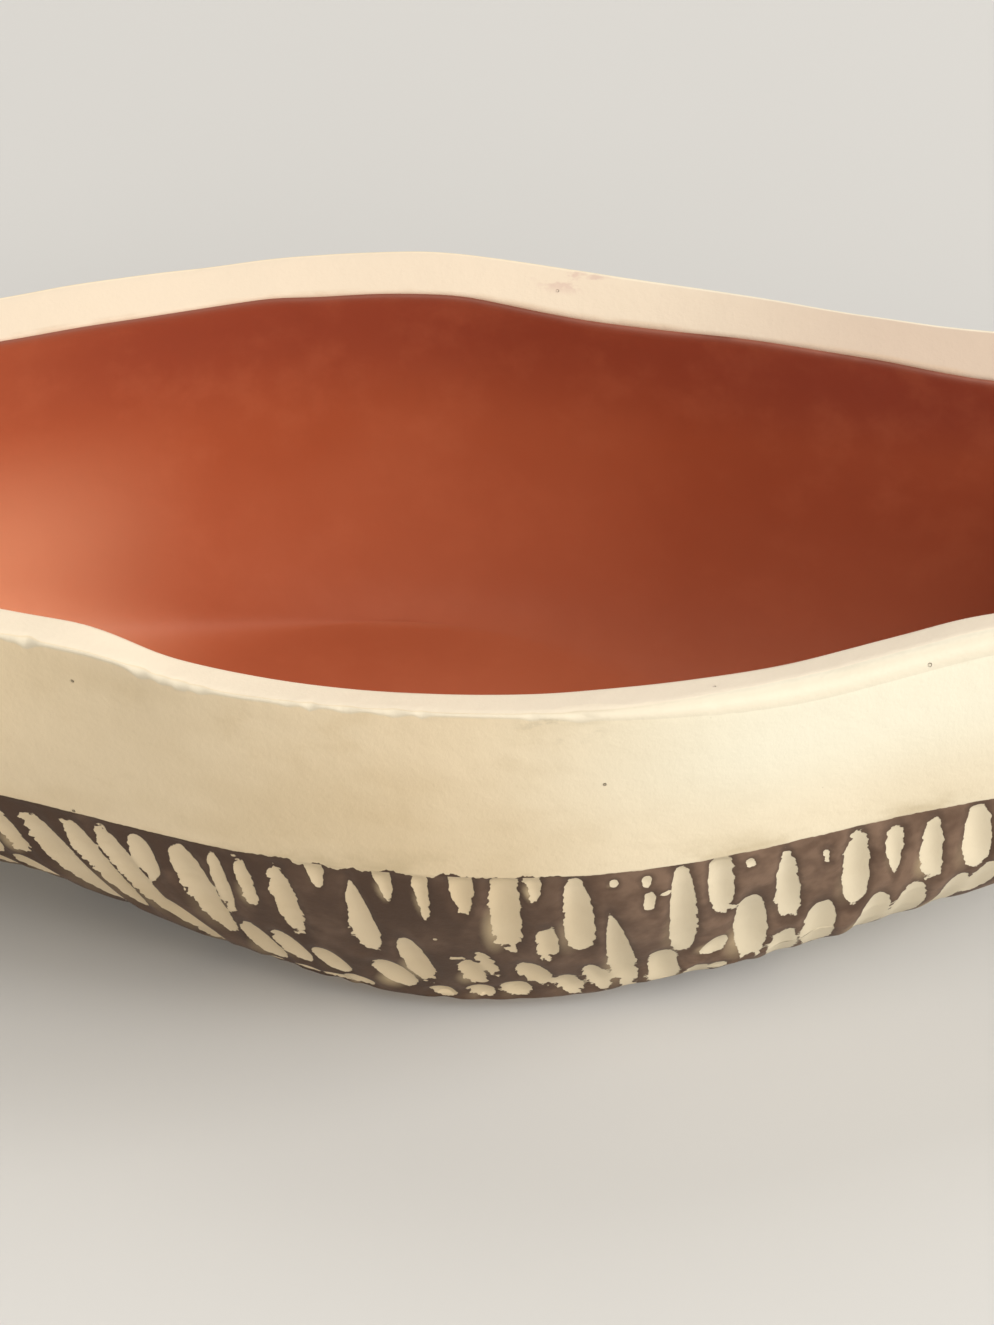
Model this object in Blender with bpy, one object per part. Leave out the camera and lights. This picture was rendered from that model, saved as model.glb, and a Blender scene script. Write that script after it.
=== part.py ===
"""Free-form jardiniere: a long, thick-walled ceramic bowl with a waving outline.

The bowl is one piece of cream clay with a flat rim that slopes inward. Its inside carries a lining
of red glaze, and the hull below the wall carries a skin of brown slip, through which rows of short
slanted gouge strokes are cut down to the clay.

Frame: +X along the length, +Y across, +Z up, origin on the ground under the middle of the foot.
"""

import math
import random

import bmesh
import bpy
from mathutils import Matrix, Vector

MM = 0.001

# Outline of the rim, seen from above. The ellipse swells in the middle and at its two ends, and its
# long axis wanders a little to either side, as on a bowl whose mould was cut by hand.
HEIGHT = 80 * MM
HALF_LENGTH = 158 * MM
HALF_WIDTH = 63 * MM
MIDDLE_SWELL = 0.043
END_SWELL = -0.047
DRIFT = 2.8 * MM
DRIFT_HALF_WAVE = 115 * MM

# Rim and wall
RIM_WIDTH = 9.3 * MM
RIM_SLOPE = math.radians(17)
RIM_EDGE = 0.9 * MM
LIP_HEIGHT = 1.2 * MM
WALL_HEIGHT = 33 * MM
WALL_BELLY = 1.5 * MM

# Hull under the wall. It draws in by its tuck at the sides and rounds into an oval, under which the
# foot ring is set in.
HULL_FULLNESS = 1.44
HULL_TUCK = 14 * MM
FOOT_HALF_LENGTH = 60 * MM
FOOT_TURN = math.radians(-23)
FOOT_HEIGHT = 3.5 * MM
FOOT_INSET = 4 * MM
FOOT_RING_WIDTH = 7 * MM
FOOT_RECESS = 2.5 * MM
FOOT_EDGE = 0.8 * MM

# Hollow of the bowl
CLAY_THICKNESS = 7.5 * MM
FLOOR_HEIGHT = 11 * MM
FLOOR_HALF_LENGTH = 50 * MM
FLOOR_TUCK = 16 * MM

# Coats of glaze and slip, with the gap that each keeps to the clay
CLEARANCE = 0.3 * MM
GLAZE_THICKNESS = 0.6 * MM
SLIP_THICKNESS = 0.6 * MM
SLIP_RECESS = 0.5 * MM

# Gouge strokes through the slip, row by row from the wall down
STROKE_PITCH = 7.8 * MM
STROKE_WEB = 3.0 * MM
STROKE_TIP = 2.6 * MM
STROKE_LEAN = math.radians(11)
STROKE_LENGTHS = (13.5 * MM, 10.5 * MM)
ROW_MARGIN = 1.4 * MM
ROW_WEB = 3.2 * MM
LENGTH_SCATTER = 0.12
LEAN_SCATTER = math.radians(4)
STROKE_SEED = 11

# Fineness of the surfaces
STATIONS = 56
WALL_STEPS = 3
HULL_STEPS = 6
BOWL_STEPS = 6
SMOOTH_ANGLE = math.radians(35)

QUARTER = math.pi / 2
UPRIGHT_TURN = math.radians(5)
BAND_TOP = HEIGHT - WALL_HEIGHT
INNER_EDGE = RIM_WIDTH * math.cos(RIM_SLOPE)
INNER_EDGE_Z = HEIGHT - RIM_WIDTH * math.sin(RIM_SLOPE)
LIP_Z = INNER_EDGE_Z - LIP_HEIGHT
FOOT_HALF_WIDTH = HALF_WIDTH - HULL_TUCK
FLOOR_HALF_WIDTH = HALF_WIDTH - INNER_EDGE - FLOOR_TUCK


def rim_plan(angle, outward=0.0):
    """Point of the rim's outer outline at a station angle, moved outward in plan."""
    def outline(a):
        swell = 1 + MIDDLE_SWELL * math.cos(4 * a) + END_SWELL * math.cos(6 * a)
        x = HALF_LENGTH * math.cos(a) * swell / (1 + MIDDLE_SWELL + END_SWELL)
        y = HALF_WIDTH * math.sin(a) * swell / (1 + MIDDLE_SWELL - END_SWELL)
        return Vector((x, y - DRIFT * math.sin(math.pi * x / DRIFT_HALF_WAVE)))

    step = 1e-3
    along = (outline(angle + step) - outline(angle - step)).normalized()
    return outline(angle) + outward * Vector((along.y, -along.x))


def oval_plan(angle, half_length, half_width, outward=0.0):
    """Point of the foot's or the floor's oval, turned with the foot and moved outward in plan."""
    point = Vector((half_length * math.cos(angle), half_width * math.sin(angle)))
    normal = Vector((half_width * math.cos(angle), half_length * math.sin(angle))).normalized()
    return Matrix.Rotation(FOOT_TURN, 2) @ (point + outward * normal)


def rounding(turn, fullness):
    """Depth and inset, each 0 to 1, along a superellipse quarter from its upright to its flat end."""
    depth = max(math.sin(turn), 0.0) ** (2 / fullness)
    inset = 1 - max(math.cos(turn), 0.0) ** (2 / fullness)
    return depth, inset


def hull_point(angle, turn):
    """Point of the hull between the wall's foot (turn 0) and the foot oval (turn 90 degrees)."""
    depth, inset = rounding(turn, HULL_FULLNESS)
    top = rim_plan(angle, WALL_BELLY)
    foot = oval_plan(angle, FOOT_HALF_LENGTH, FOOT_HALF_WIDTH)
    plan = top.lerp(foot, inset)
    return Vector((plan.x, plan.y, BAND_TOP + (FOOT_HEIGHT - BAND_TOP) * depth))


def ring_direction(surface, angle, turn):
    step = 1e-3
    return (surface(angle + step, turn) - surface(angle - step, turn)).normalized()


def surface_normal(surface, angle, turn):
    """Direction away from the middle of the bowl, square to a surface."""
    step = 1e-3
    low = max(turn - step, 0.0)
    high = min(turn + step, QUARTER)
    down = surface(angle, high) - surface(angle, low)
    return down.cross(ring_direction(surface, angle, turn)).normalized()


def hollow_fullness():
    """Fullness that leaves the clay its thickness halfway down the hull, at the pointed ends."""
    halfway = QUARTER / 2
    behind = hull_point(0.0, halfway) - CLAY_THICKNESS * surface_normal(hull_point, 0.0, halfway)
    top = rim_plan(0.0, -INNER_EDGE).x
    floor = oval_plan(0.0, FLOOR_HALF_LENGTH, FLOOR_HALF_WIDTH).x
    reach = (behind.x - floor) / (top - floor)
    depth = (LIP_Z - behind.z) / (LIP_Z - FLOOR_HEIGHT)
    low, high = 1.0, 8.0
    for _ in range(40):
        fullness = (low + high) / 2
        if reach ** fullness + depth ** fullness > 1:
            low = fullness
        else:
            high = fullness
    return high


BOWL_FULLNESS = hollow_fullness()


def bowl_point(angle, turn):
    """Point of the glazed hollow between the lip (turn 0) and the floor oval (turn 90 degrees)."""
    depth, inset = rounding(turn, BOWL_FULLNESS)
    top = rim_plan(angle, -INNER_EDGE)
    floor = oval_plan(angle, FLOOR_HALF_LENGTH, FLOOR_HALF_WIDTH)
    plan = top.lerp(floor, inset)
    return Vector((plan.x, plan.y, LIP_Z + (FLOOR_HEIGHT - LIP_Z) * depth))


def offset_point(surface, angle, turn, outward):
    """Point of a surface moved square to it: level at the upright end, straight down at the flat."""
    point = surface(angle, turn)
    if turn >= QUARTER:
        return point - Vector((0, 0, outward))
    normal = surface_normal(surface, angle, turn)
    if turn <= UPRIGHT_TURN:
        normal = Vector((normal.x, normal.y, 0)).normalized()
    return point + outward * normal


def station_angles():
    return [2 * math.pi * i / STATIONS for i in range(STATIONS)]


def surface_rings(surface, turns, outward):
    return [[offset_point(surface, a, turn, outward) for a in station_angles()] for turn in turns]


def flat_ring(plan, z):
    """Ring of stations at one height, from a plan function of the station angle."""
    ring = []
    for a in station_angles():
        point = plan(a)
        ring.append(Vector((point.x, point.y, z)))
    return ring


def turns_from_edge(steps, height, fullness, gap):
    """Turns down a rounding whose first ring lies a gap below its upper edge."""
    first = math.asin(min((gap / height) ** (fullness / 2), 0.5))
    return [first + (QUARTER - first) * i / steps for i in range(steps)] + [QUARTER]


def hull_turns():
    return turns_from_edge(HULL_STEPS, BAND_TOP - FOOT_HEIGHT, HULL_FULLNESS, CLEARANCE)


def bowl_turns():
    return turns_from_edge(BOWL_STEPS, LIP_Z - FLOOR_HEIGHT, BOWL_FULLNESS, CLEARANCE)


def loft(bm, rings, closed=False):
    """Skin a stack of rings. An open stack is capped at both ends.

    Each cell is split along the diagonal that falls from station i to the next one, so that coats
    laid over one another bend along the same lines.
    """
    loops = [[bm.verts.new(point) for point in ring] for ring in rings]
    pairs = list(zip(loops, loops[1:]))
    if closed:
        pairs.append((loops[-1], loops[0]))
    for first, second in pairs:
        for i in range(len(first)):
            j = (i + 1) % len(first)
            if first[i].co.z > second[i].co.z:
                bm.faces.new((first[i], first[j], second[j]))
                bm.faces.new((first[i], second[j], second[i]))
            else:
                bm.faces.new((first[i], first[j], second[i]))
                bm.faces.new((first[j], second[j], second[i]))
    if not closed:
        bm.faces.new(loops[0])
        bm.faces.new(loops[-1])
    bmesh.ops.recalc_face_normals(bm, faces=bm.faces)


def make_material(name, colour, roughness):
    material = bpy.data.materials.new(name)
    material.use_nodes = True
    shader = material.node_tree.nodes["Principled BSDF"]
    shader.inputs["Base Color"].default_value = (*colour, 1.0)
    shader.inputs["Roughness"].default_value = roughness
    shader.inputs["Metallic"].default_value = 0.0
    return material


def make_object(name, bm, material):
    mesh = bpy.data.meshes.new(name)
    bm.to_mesh(mesh)
    bm.free()
    mesh.shade_smooth()
    mesh.set_sharp_from_angle(angle=SMOOTH_ANGLE)
    if material:
        mesh.materials.append(material)
    part = bpy.data.objects.new(name, mesh)
    bpy.context.scene.collection.objects.link(part)
    return part


def bowl_rings():
    """Clay face behind the glaze, from the floor up to the ledge under the lip."""
    behind = CLEARANCE + GLAZE_THICKNESS
    rings = surface_rings(bowl_point, [0.0] + bowl_turns(), behind)
    return rings[::-1]


def rim_rings():
    """Lip, sloping rim face and rounded outer edge."""
    slope = math.tan(RIM_SLOPE)
    edge_drop = RIM_EDGE * (1 - math.sqrt(0.5))
    return [
        flat_ring(lambda a: rim_plan(a, -INNER_EDGE), LIP_Z),
        flat_ring(lambda a: rim_plan(a, -INNER_EDGE), INNER_EDGE_Z - RIM_EDGE * 0.5),
        flat_ring(lambda a: rim_plan(a, -INNER_EDGE + RIM_EDGE * 0.5), INNER_EDGE_Z),
        flat_ring(lambda a: rim_plan(a, -RIM_EDGE), HEIGHT - RIM_EDGE * slope),
        flat_ring(lambda a: rim_plan(a, -edge_drop), HEIGHT - edge_drop),
    ]


def wall_rings():
    """Cream wall, gently bellied, from under the rim's edge down to the slip."""
    rings = []
    for i in range(WALL_STEPS + 1):
        z = HEIGHT - RIM_EDGE - (WALL_HEIGHT - RIM_EDGE) * i / WALL_STEPS
        belly = WALL_BELLY * math.sin(QUARTER * (HEIGHT - z) / WALL_HEIGHT)
        rings.append(flat_ring(lambda a, out=belly: rim_plan(a, out), z))
    return rings


def foot_rings():
    """Flat underside behind the slip's lower edge, upright foot ring, and the recess inside it."""
    def foot(inward):
        return lambda a: oval_plan(a, FOOT_HALF_LENGTH, FOOT_HALF_WIDTH, -inward)

    inner = FOOT_INSET + FOOT_RING_WIDTH
    under = FOOT_HEIGHT + SLIP_RECESS + SLIP_THICKNESS + CLEARANCE
    return [
        flat_ring(foot(CLEARANCE), under),
        flat_ring(foot(FOOT_INSET), under),
        flat_ring(foot(FOOT_INSET), FOOT_EDGE),
        flat_ring(foot(FOOT_INSET + FOOT_EDGE), 0.0),
        flat_ring(foot(inner - FOOT_EDGE), 0.0),
        flat_ring(foot(inner), FOOT_EDGE),
        flat_ring(foot(inner + FOOT_RECESS), FOOT_RECESS),
    ]


def build_clay_body(material):
    """The bowl itself: hollow, rim, wall, hull under the slip, and foot."""
    behind = SLIP_RECESS + SLIP_THICKNESS + CLEARANCE
    hull = surface_rings(hull_point, [0.0] + hull_turns()[:-1], -behind)
    bm = bmesh.new()
    loft(bm, bowl_rings() + rim_rings() + wall_rings() + hull + foot_rings())
    return make_object("clay_body", bm, material)


def build_inner_glaze(material):
    """Lining of the hollow, from just under the lip to the floor."""
    turns = bowl_turns()
    face = surface_rings(bowl_point, turns, 0.0)
    back = surface_rings(bowl_point, turns, GLAZE_THICKNESS)
    bm = bmesh.new()
    loft(bm, face[::-1] + back)
    return make_object("red_inner_glaze", bm, material)


def slip_turn_at(angle, distance):
    """Turn at which a station lies a given distance below the wall, square to the hull's rings."""
    steps = 40
    travelled = 0.0
    last = hull_point(angle, 0.0)
    for i in range(1, steps + 1):
        turn = QUARTER * i / steps
        point = hull_point(angle, turn)
        run = (point - last).cross(ring_direction(hull_point, angle, turn)).length
        if travelled + run >= distance:
            return turn - QUARTER / steps * (travelled + run - distance) / run
        travelled += run
        last = point
    return QUARTER


def row_angles(distance, stagger):
    """Station angles of evenly spaced strokes along a row, measured on the hull's surface."""
    samples = 360
    angles = [2 * math.pi * i / samples for i in range(samples + 1)]
    points = [hull_point(a, slip_turn_at(a, distance)) for a in angles]
    reach = [0.0]
    for here, there in zip(points, points[1:]):
        reach.append(reach[-1] + (there - here).length)
    count = round(reach[-1] / STROKE_PITCH)
    found = []
    k = 0
    for i in range(count):
        target = reach[-1] * (i + stagger) / count
        while reach[k + 1] < target:
            k += 1
        share = (target - reach[k]) / (reach[k + 1] - reach[k])
        found.append(angles[k] + share * (angles[k + 1] - angles[k]))
    return found


def add_stroke(bm, angle, distance, length, lean):
    """Six-sided prism through the slip, square to it, pointed at both ends like a gouge stroke."""
    turn = slip_turn_at(angle, distance)
    normal = surface_normal(hull_point, angle, turn)
    centre = hull_point(angle, turn)
    level = Vector((0, 0, 1)).cross(normal).normalized()
    upward = normal.cross(level)
    across = level * math.cos(lean) + upward * math.sin(lean)
    ahead = upward * math.cos(lean) - level * math.sin(lean)
    half_width = (STROKE_PITCH - STROKE_WEB) / 2
    half_length = length / 2
    shoulder = half_length - STROKE_TIP
    outline = ((0, half_length), (-half_width, shoulder), (-half_width, -shoulder),
               (0, -half_length), (half_width, -shoulder), (half_width, shoulder))
    sink = SLIP_RECESS + SLIP_THICKNESS + length * length * 6
    levels = (length * 0.12, -sink)
    loops = []
    for height in levels:
        loops.append([bm.verts.new(centre + across * u + ahead * v + normal * height)
                      for u, v in outline])
    bm.faces.new(loops[0])
    bm.faces.new(loops[1][::-1])
    for i in range(len(outline)):
        j = (i + 1) % len(outline)
        bm.faces.new((loops[0][j], loops[0][i], loops[1][i], loops[1][j]))


def build_stroke_cutter():
    scatter = random.Random(STROKE_SEED)
    bm = bmesh.new()
    edge = ROW_MARGIN
    for row, row_length in enumerate(STROKE_LENGTHS):
        middle = edge + row_length / 2
        for angle in row_angles(middle, 0.5 * (row % 2)):
            length = row_length * (1 - scatter.uniform(0, LENGTH_SCATTER))
            lean = STROKE_LEAN + scatter.uniform(-LEAN_SCATTER, LEAN_SCATTER)
            add_stroke(bm, angle, middle, length, lean)
        edge += row_length + ROW_WEB
    bmesh.ops.recalc_face_normals(bm, faces=bm.faces)
    cutter = make_object("stroke_cutter", bm, None)
    cutter.hide_render = True
    cutter.display_type = "WIRE"
    return cutter


def build_slip_band(material):
    """Skin of brown slip over the hull, pierced by the gouge strokes."""
    turns = hull_turns()
    outer = surface_rings(hull_point, turns, -SLIP_RECESS)
    inner = surface_rings(hull_point, turns, -SLIP_RECESS - SLIP_THICKNESS)
    bm = bmesh.new()
    loft(bm, outer + inner[::-1], closed=True)
    band = make_object("brown_slip_band", bm, material)
    strokes = band.modifiers.new("strokes", "BOOLEAN")
    strokes.operation = "DIFFERENCE"
    strokes.solver = "EXACT"
    strokes.use_self = True
    strokes.object = build_stroke_cutter()
    return band


def main():
    for item in list(bpy.data.objects):
        bpy.data.objects.remove(item, do_unlink=True)
    build_clay_body(make_material("cream_clay", (0.78, 0.64, 0.45), 0.55))
    build_inner_glaze(make_material("red_glaze", (0.42, 0.095, 0.045), 0.45))
    build_slip_band(make_material("brown_slip", (0.165, 0.10, 0.065), 0.6))


main()
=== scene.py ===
"""Free-form jardiniere: a long ceramic bowl with a waving rim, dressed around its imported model.

The clay bowl has a flat rim that slopes inward and a plain cream wall. Under the wall the hull
carries a coat of brown slip, through which short leaning gouges are cut down to the clay. The
hollow is lined with a satin red glaze. All sizes are in metres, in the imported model's frame.
"""

import math
import random
from collections import namedtuple

import bpy
import numpy as np
from bpy.props import FloatProperty, FloatVectorProperty, IntProperty, PointerProperty
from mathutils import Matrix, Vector


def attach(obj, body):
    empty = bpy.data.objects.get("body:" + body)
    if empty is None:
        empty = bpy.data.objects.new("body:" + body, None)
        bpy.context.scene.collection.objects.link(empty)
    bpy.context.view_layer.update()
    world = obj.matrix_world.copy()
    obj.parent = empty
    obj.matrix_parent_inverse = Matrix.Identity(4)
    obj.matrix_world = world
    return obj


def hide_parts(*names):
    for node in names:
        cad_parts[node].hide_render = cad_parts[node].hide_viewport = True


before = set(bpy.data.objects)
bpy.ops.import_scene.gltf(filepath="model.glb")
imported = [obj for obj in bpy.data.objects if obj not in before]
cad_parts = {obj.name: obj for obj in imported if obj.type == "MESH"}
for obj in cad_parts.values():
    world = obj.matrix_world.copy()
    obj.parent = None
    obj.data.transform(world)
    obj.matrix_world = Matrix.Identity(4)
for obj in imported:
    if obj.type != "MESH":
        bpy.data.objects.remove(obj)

bl_info = {
    "name": "Free-form jardiniere",
    "version": (1, 0, 0),
    "blender": (4, 5, 0),
    "location": "3D View > Sidebar > Jardiniere",
    "description": "A long ceramic bowl with a waving rim, red glaze inside and gouged brown slip",
    "category": "Add Mesh",
}

MM = 0.001
QUARTER = math.pi / 2
VECTOR = "FLOAT_VECTOR"
# Turn between the two points that a direction is read from
NUDGE = 1e-3


def length(name, description, default):
    return FloatProperty(name=name, description=description, default=default * MM,
                         unit="LENGTH", precision=5)


def turned(name, description, default):
    return FloatProperty(name=name, description=description, default=math.radians(default),
                         subtype="ANGLE")


def share(name, description, default):
    return FloatProperty(name=name, description=description, default=default)


def power(name, description, default):
    return FloatProperty(name=name, description=description, default=default, unit="POWER")


def colour(name, description, default):
    return FloatVectorProperty(name=name, description=description, default=default, size=3,
                               min=0.0, max=1.0, subtype="COLOR")


class BowlShape(bpy.types.PropertyGroup):
    """Sizes of the bowl, the same as those of its solids."""

    height: length("Height", "Ground to the rim's outer edge", 80)
    half_length: length("Half length", "Middle to either end of the rim", 158)
    half_width: length("Half width", "Middle to either side of the rim", 63)
    middle_swell: share("Middle swell", "How much the outline swells at its middle", 0.043)
    end_swell: share("End swell", "How much the outline swells at its ends", -0.047)
    drift: length("Drift", "How far the long axis wanders to either side", 2.8)
    drift_half_wave: length("Drift half wave", "Length over which it wanders once", 115)
    rim_width: length("Rim width", "Sloping rim face, outer to inner edge", 9.3)
    rim_slope: turned("Rim slope", "Fall of the rim face towards the hollow", 17)
    arris: length("Rim arris", "Radius of the rim's outer edge where it is crispest", 0.4)
    soft_arris: length("Soft arris", "Radius of that edge at the front right", 2.7)
    inner_arris: length("Inner arris", "Radius of the rim's inner edge", 0.7)
    hand: length("Hand", "Fine waver of the hand-cut rim", 0.09)
    lip_height: length("Lip height", "Upright lip between the rim face and the glaze", 1.2)
    wall_height: length("Wall height", "Plain wall between the rim and the slip", 33)
    wall_belly: length("Wall belly", "How far the wall stands out at its foot", 1.5)
    hull_fullness: share("Hull fullness", "Superellipse exponent of the hull", 1.44)
    hull_tuck: length("Hull tuck", "How far the hull draws in at the sides", 14)
    foot_half_length: length("Foot half length", "Half the foot oval's length", 60)
    foot_turn: turned("Foot turn", "Turn of the foot oval under the bowl", -23)
    foot_height: length("Foot height", "Ground to the hull's lower edge", 3.5)
    foot_inset: length("Foot inset", "How far the foot ring is set in from that edge", 4)
    foot_ring_width: length("Foot ring width", "Width of the ring that the bowl stands on", 7)
    foot_recess: length("Foot recess", "Depth of the hollow under the bowl", 2.5)
    clay_thickness: length("Clay thickness", "Clay left halfway down the hull at the ends", 7.5)
    floor_height: length("Floor height", "Ground to the floor of the hollow", 11)
    floor_half_length: length("Floor half length", "Half the floor oval's length", 50)
    floor_tuck: length("Floor tuck", "How far the hollow draws in at the sides", 16)
    floor_softness: share("Floor softness", "How gently the hollow turns into its floor", 0.25)
    glaze_thickness: length("Glaze thickness", "Lining of glaze", 0.6)
    slip_step: length("Slip step", "How far the slip lies behind the wall", 0.04)
    skin_thickness: length("Skin thickness", "Slip and clay skin that the gouges are cut in", 2.6)


class GougeSettings(bpy.types.PropertyGroup):
    """The gouges through the slip."""

    pitch: length("Pitch", "Distance between gouges in a row", 6.4)
    first_length: length("First length", "Length of the gouges in the top row", 20.0)
    last_length: length("Last length", "Length of the gouges nearest the foot", 9.0)
    width: length("Width", "Width of bare clay in a gouge", 4.4)
    depth: length("Depth", "Depth of a gouge of that width", 1.45)
    lean: turned("Lean", "Lean of the gouges from straight down the hull", 11)
    foot_margin: length("Foot margin", "Plain slip above the foot", 6.0)
    skirt: share("Skirt", "Reach of a gouge's soft shoulder, in half widths", 1.85)
    seed: IntProperty(name="Seed", description="Scatter of the gouges", default=11)


class BowlFinish(bpy.types.PropertyGroup):
    """Colours of clay, slip and glaze."""

    clay: colour("Clay", "Cream clay of the wall", (0.87, 0.71, 0.48))
    # Painted highlight: paler cream laid over the wall towards its right end and top
    clay_painted_highlight: colour("Pale clay", "Cream clay where it fired palest", (0.91, 0.86, 0.69))
    clay_shade: colour("Clay shade", "Cream clay where it is clouded", (0.72, 0.56, 0.34))
    # Partly the rim face's own paler clay, partly painted highlight where the face turns up to the
    # light
    rim: colour("Rim", "Paler clay of the rim's face", (0.95, 0.83, 0.65))
    # Painted shade on the rim face at the back
    rim_far_shade: colour("Far rim", "The rim's face at the back", (0.73, 0.60, 0.455))
    slip: colour("Slip", "Brown slip", (0.135, 0.079, 0.050))
    slip_thin: colour("Thin slip", "Brown slip where it lies thin", (0.31, 0.20, 0.135))
    # Also laid over the slip's left and middle, which are darker than its right end
    slip_deep: colour("Deep slip", "Brown slip where it lies thick", (0.074, 0.041, 0.025))
    glaze: colour("Glaze", "Red glaze of the hollow", (0.41, 0.092, 0.034))
    # Paler red for thin glaze, also painted as light over the left end and low in the hollow
    glaze_thin_and_lit: colour("Pale glaze", "Red glaze where it lies thin", (0.60, 0.18, 0.082))
    # Painted sheen: pale red laid low at the left end in place of the glaze's soft glow
    glaze_painted_sheen: colour("Glaze bloom", "Milky red glaze low at the left", (0.80, 0.37, 0.21))
    # Painted shade: darker red laid over the right end and the upper wall of the hollow
    glaze_painted_shade: colour("Deep glaze", "Red glaze where it lies thick", (0.27, 0.050, 0.024))
    foot: colour("Foot", "Bare clay under the bowl", (0.56, 0.42, 0.29))


class StudioSettings(bpy.types.PropertyGroup):
    """Floor and light."""

    floor: colour("Floor", "Pale floor as the camera sees it", (0.66, 0.65, 0.63))
    right_power: power("Right light", "Large soft light beyond the right end", 86)
    side_power: power("Side light", "Soft light at the front right", 89)
    front_power: power("Front light", "Broad soft light at the front left", 71)
    rear_power: power("Rear light", "High soft light behind the bowl", 50)
    fill: share("Fill", "Strength of the even light all round", 0.17)


def unit(vectors):
    return vectors / np.linalg.norm(vectors, axis=-1, keepdims=True)


def rim_plan(shape, angle, outward=0.0):
    """x and y of the rim's outer outline at station angles, moved outward in plan."""
    def outline(a):
        swell = 1 + shape.middle_swell * np.cos(4 * a) + shape.end_swell * np.cos(6 * a)
        x = shape.half_length * np.cos(a) * swell / (1 + shape.middle_swell + shape.end_swell)
        y = shape.half_width * np.sin(a) * swell / (1 + shape.middle_swell - shape.end_swell)
        return np.stack((x, y - shape.drift * np.sin(np.pi * x / shape.drift_half_wave)), -1)

    angle = np.asarray(angle, float)
    along = unit(outline(angle + NUDGE) - outline(angle - NUDGE))
    out = np.stack((along[..., 1], -along[..., 0]), -1)
    return outline(angle) + np.asarray(outward)[..., None] * out


def oval_plan(shape, angle, half_length, half_width, outward=0.0):
    """x and y of the foot's or the floor's oval, turned with the foot."""
    c, s = np.cos(angle), np.sin(angle)
    normal = unit(np.stack((half_width * c, half_length * s), -1))
    flat = np.stack((half_length * c, half_width * s), -1) + outward * normal
    tc, ts = math.cos(shape.foot_turn), math.sin(shape.foot_turn)
    return flat @ np.array(((tc, ts), (-ts, tc)))


def foot_plan(shape, angle, outward=0.0):
    return oval_plan(shape, angle, shape.foot_half_length, shape.half_width - shape.hull_tuck,
                     outward)


def floor_plan(shape, angle):
    half_width = shape.half_width - inner_edge(shape)[0] - shape.floor_tuck
    return oval_plan(shape, angle, shape.floor_half_length, half_width)


# How much fuller the hull swells at the front than its drawn curve, in mm, by distance to the
# right of the middle. It fades towards the wall, the foot and the ends.
HULL_HAND = ((-130, 0), (-95, 0.8), (-50, 0.6), (-20, 0.1), (10, 0), (45, 0.5), (72, 0.9),
             (88, 1.6), (102, 2.3), (115, 2.0), (130, 1.0), (150, 0))


def hull_point(shape, angle, turn):
    """Hull between the wall's foot (turn 0) and the foot oval (turn 90 degrees).

    It draws in and falls along a superellipse quarter, from upright to flat.
    """
    angle, turn = np.broadcast_arrays(angle, turn)
    top = rim_plan(shape, angle, shape.wall_belly)
    bulge = np.interp(top[..., 0], *np.array(HULL_HAND).T * MM)
    bulge = bulge * np.clip(-2 * np.sin(angle), 0, 1) * np.sin(2 * turn)
    top = rim_plan(shape, angle, shape.wall_belly + bulge)
    foot = foot_plan(shape, angle, bulge[..., None])
    top_z = shape.height - shape.wall_height
    depth = np.maximum(np.sin(turn), 0.0) ** (2 / shape.hull_fullness)
    inset = 1 - np.maximum(np.cos(turn), 0.0) ** (2 / shape.hull_fullness)
    return level_ring(top + (foot - top) * inset[..., None],
                      top_z + (shape.foot_height - top_z) * depth)


def inner_edge(shape):
    """Distance in from the outline and height of the rim's inner edge."""
    return (shape.rim_width * math.cos(shape.rim_slope),
            shape.height - shape.rim_width * math.sin(shape.rim_slope))


def hollow_fullness(shape):
    """Fullness that leaves the clay its thickness halfway down the hull, at the pointed ends."""
    inward, edge_z = inner_edge(shape)
    lip_z = edge_z - shape.lip_height
    behind = skin_point(shape, hull_point, 0.0, QUARTER / 2, -shape.clay_thickness)
    top = rim_plan(shape, 0.0, -inward)[0]
    floor = floor_plan(shape, 0.0)[0]
    reach = (behind[0] - floor) / (top - floor)
    depth = (lip_z - behind[2]) / (lip_z - shape.floor_height)
    low, high = 1.0, 8.0
    for _ in range(40):
        fullness = (low + high) / 2
        if reach ** fullness + depth ** fullness > 1:
            low = fullness
        else:
            high = fullness
    return high


def bowl_point(shape, angle, turn):
    """Glazed hollow: lip (turn 0), floor oval (turn 90 degrees), middle of the floor (180)."""
    angle, turn = np.broadcast_arrays(np.asarray(angle, float), np.asarray(turn, float))
    inward, edge_z = inner_edge(shape)
    fullness = hollow_fullness(shape)
    top = rim_plan(shape, angle, -inward)
    floor = floor_plan(shape, angle)
    keep = np.clip(2 - turn / QUARTER, 0, 1)
    out = np.maximum(np.cos(np.minimum(turn, QUARTER)), 0) ** (2 / fullness)
    reach = np.linalg.norm(floor, axis=-1) / np.linalg.norm(top - floor, axis=-1)
    past_oval = out - (1 - keep) * reach
    soft = shape.floor_softness
    eased = (past_oval + np.hypot(past_oval, soft)) / (1 + math.hypot(1, soft))
    height = 1 - (1 - np.clip(eased, 0, 1) ** fullness) ** (1 / fullness)
    plan = floor * keep[..., None] + (top - floor) * out[..., None]
    lip_z = edge_z - shape.lip_height
    stray, way = rim_hand(shape, angle)[1:]
    fading = stray * height ** 2.5
    plan = plan + (fading * way)[..., None] * (top - rim_plan(shape, angle, -inward - MM)) / MM
    return level_ring(plan, shape.floor_height + (lip_z - shape.floor_height) * height + fading)


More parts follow.
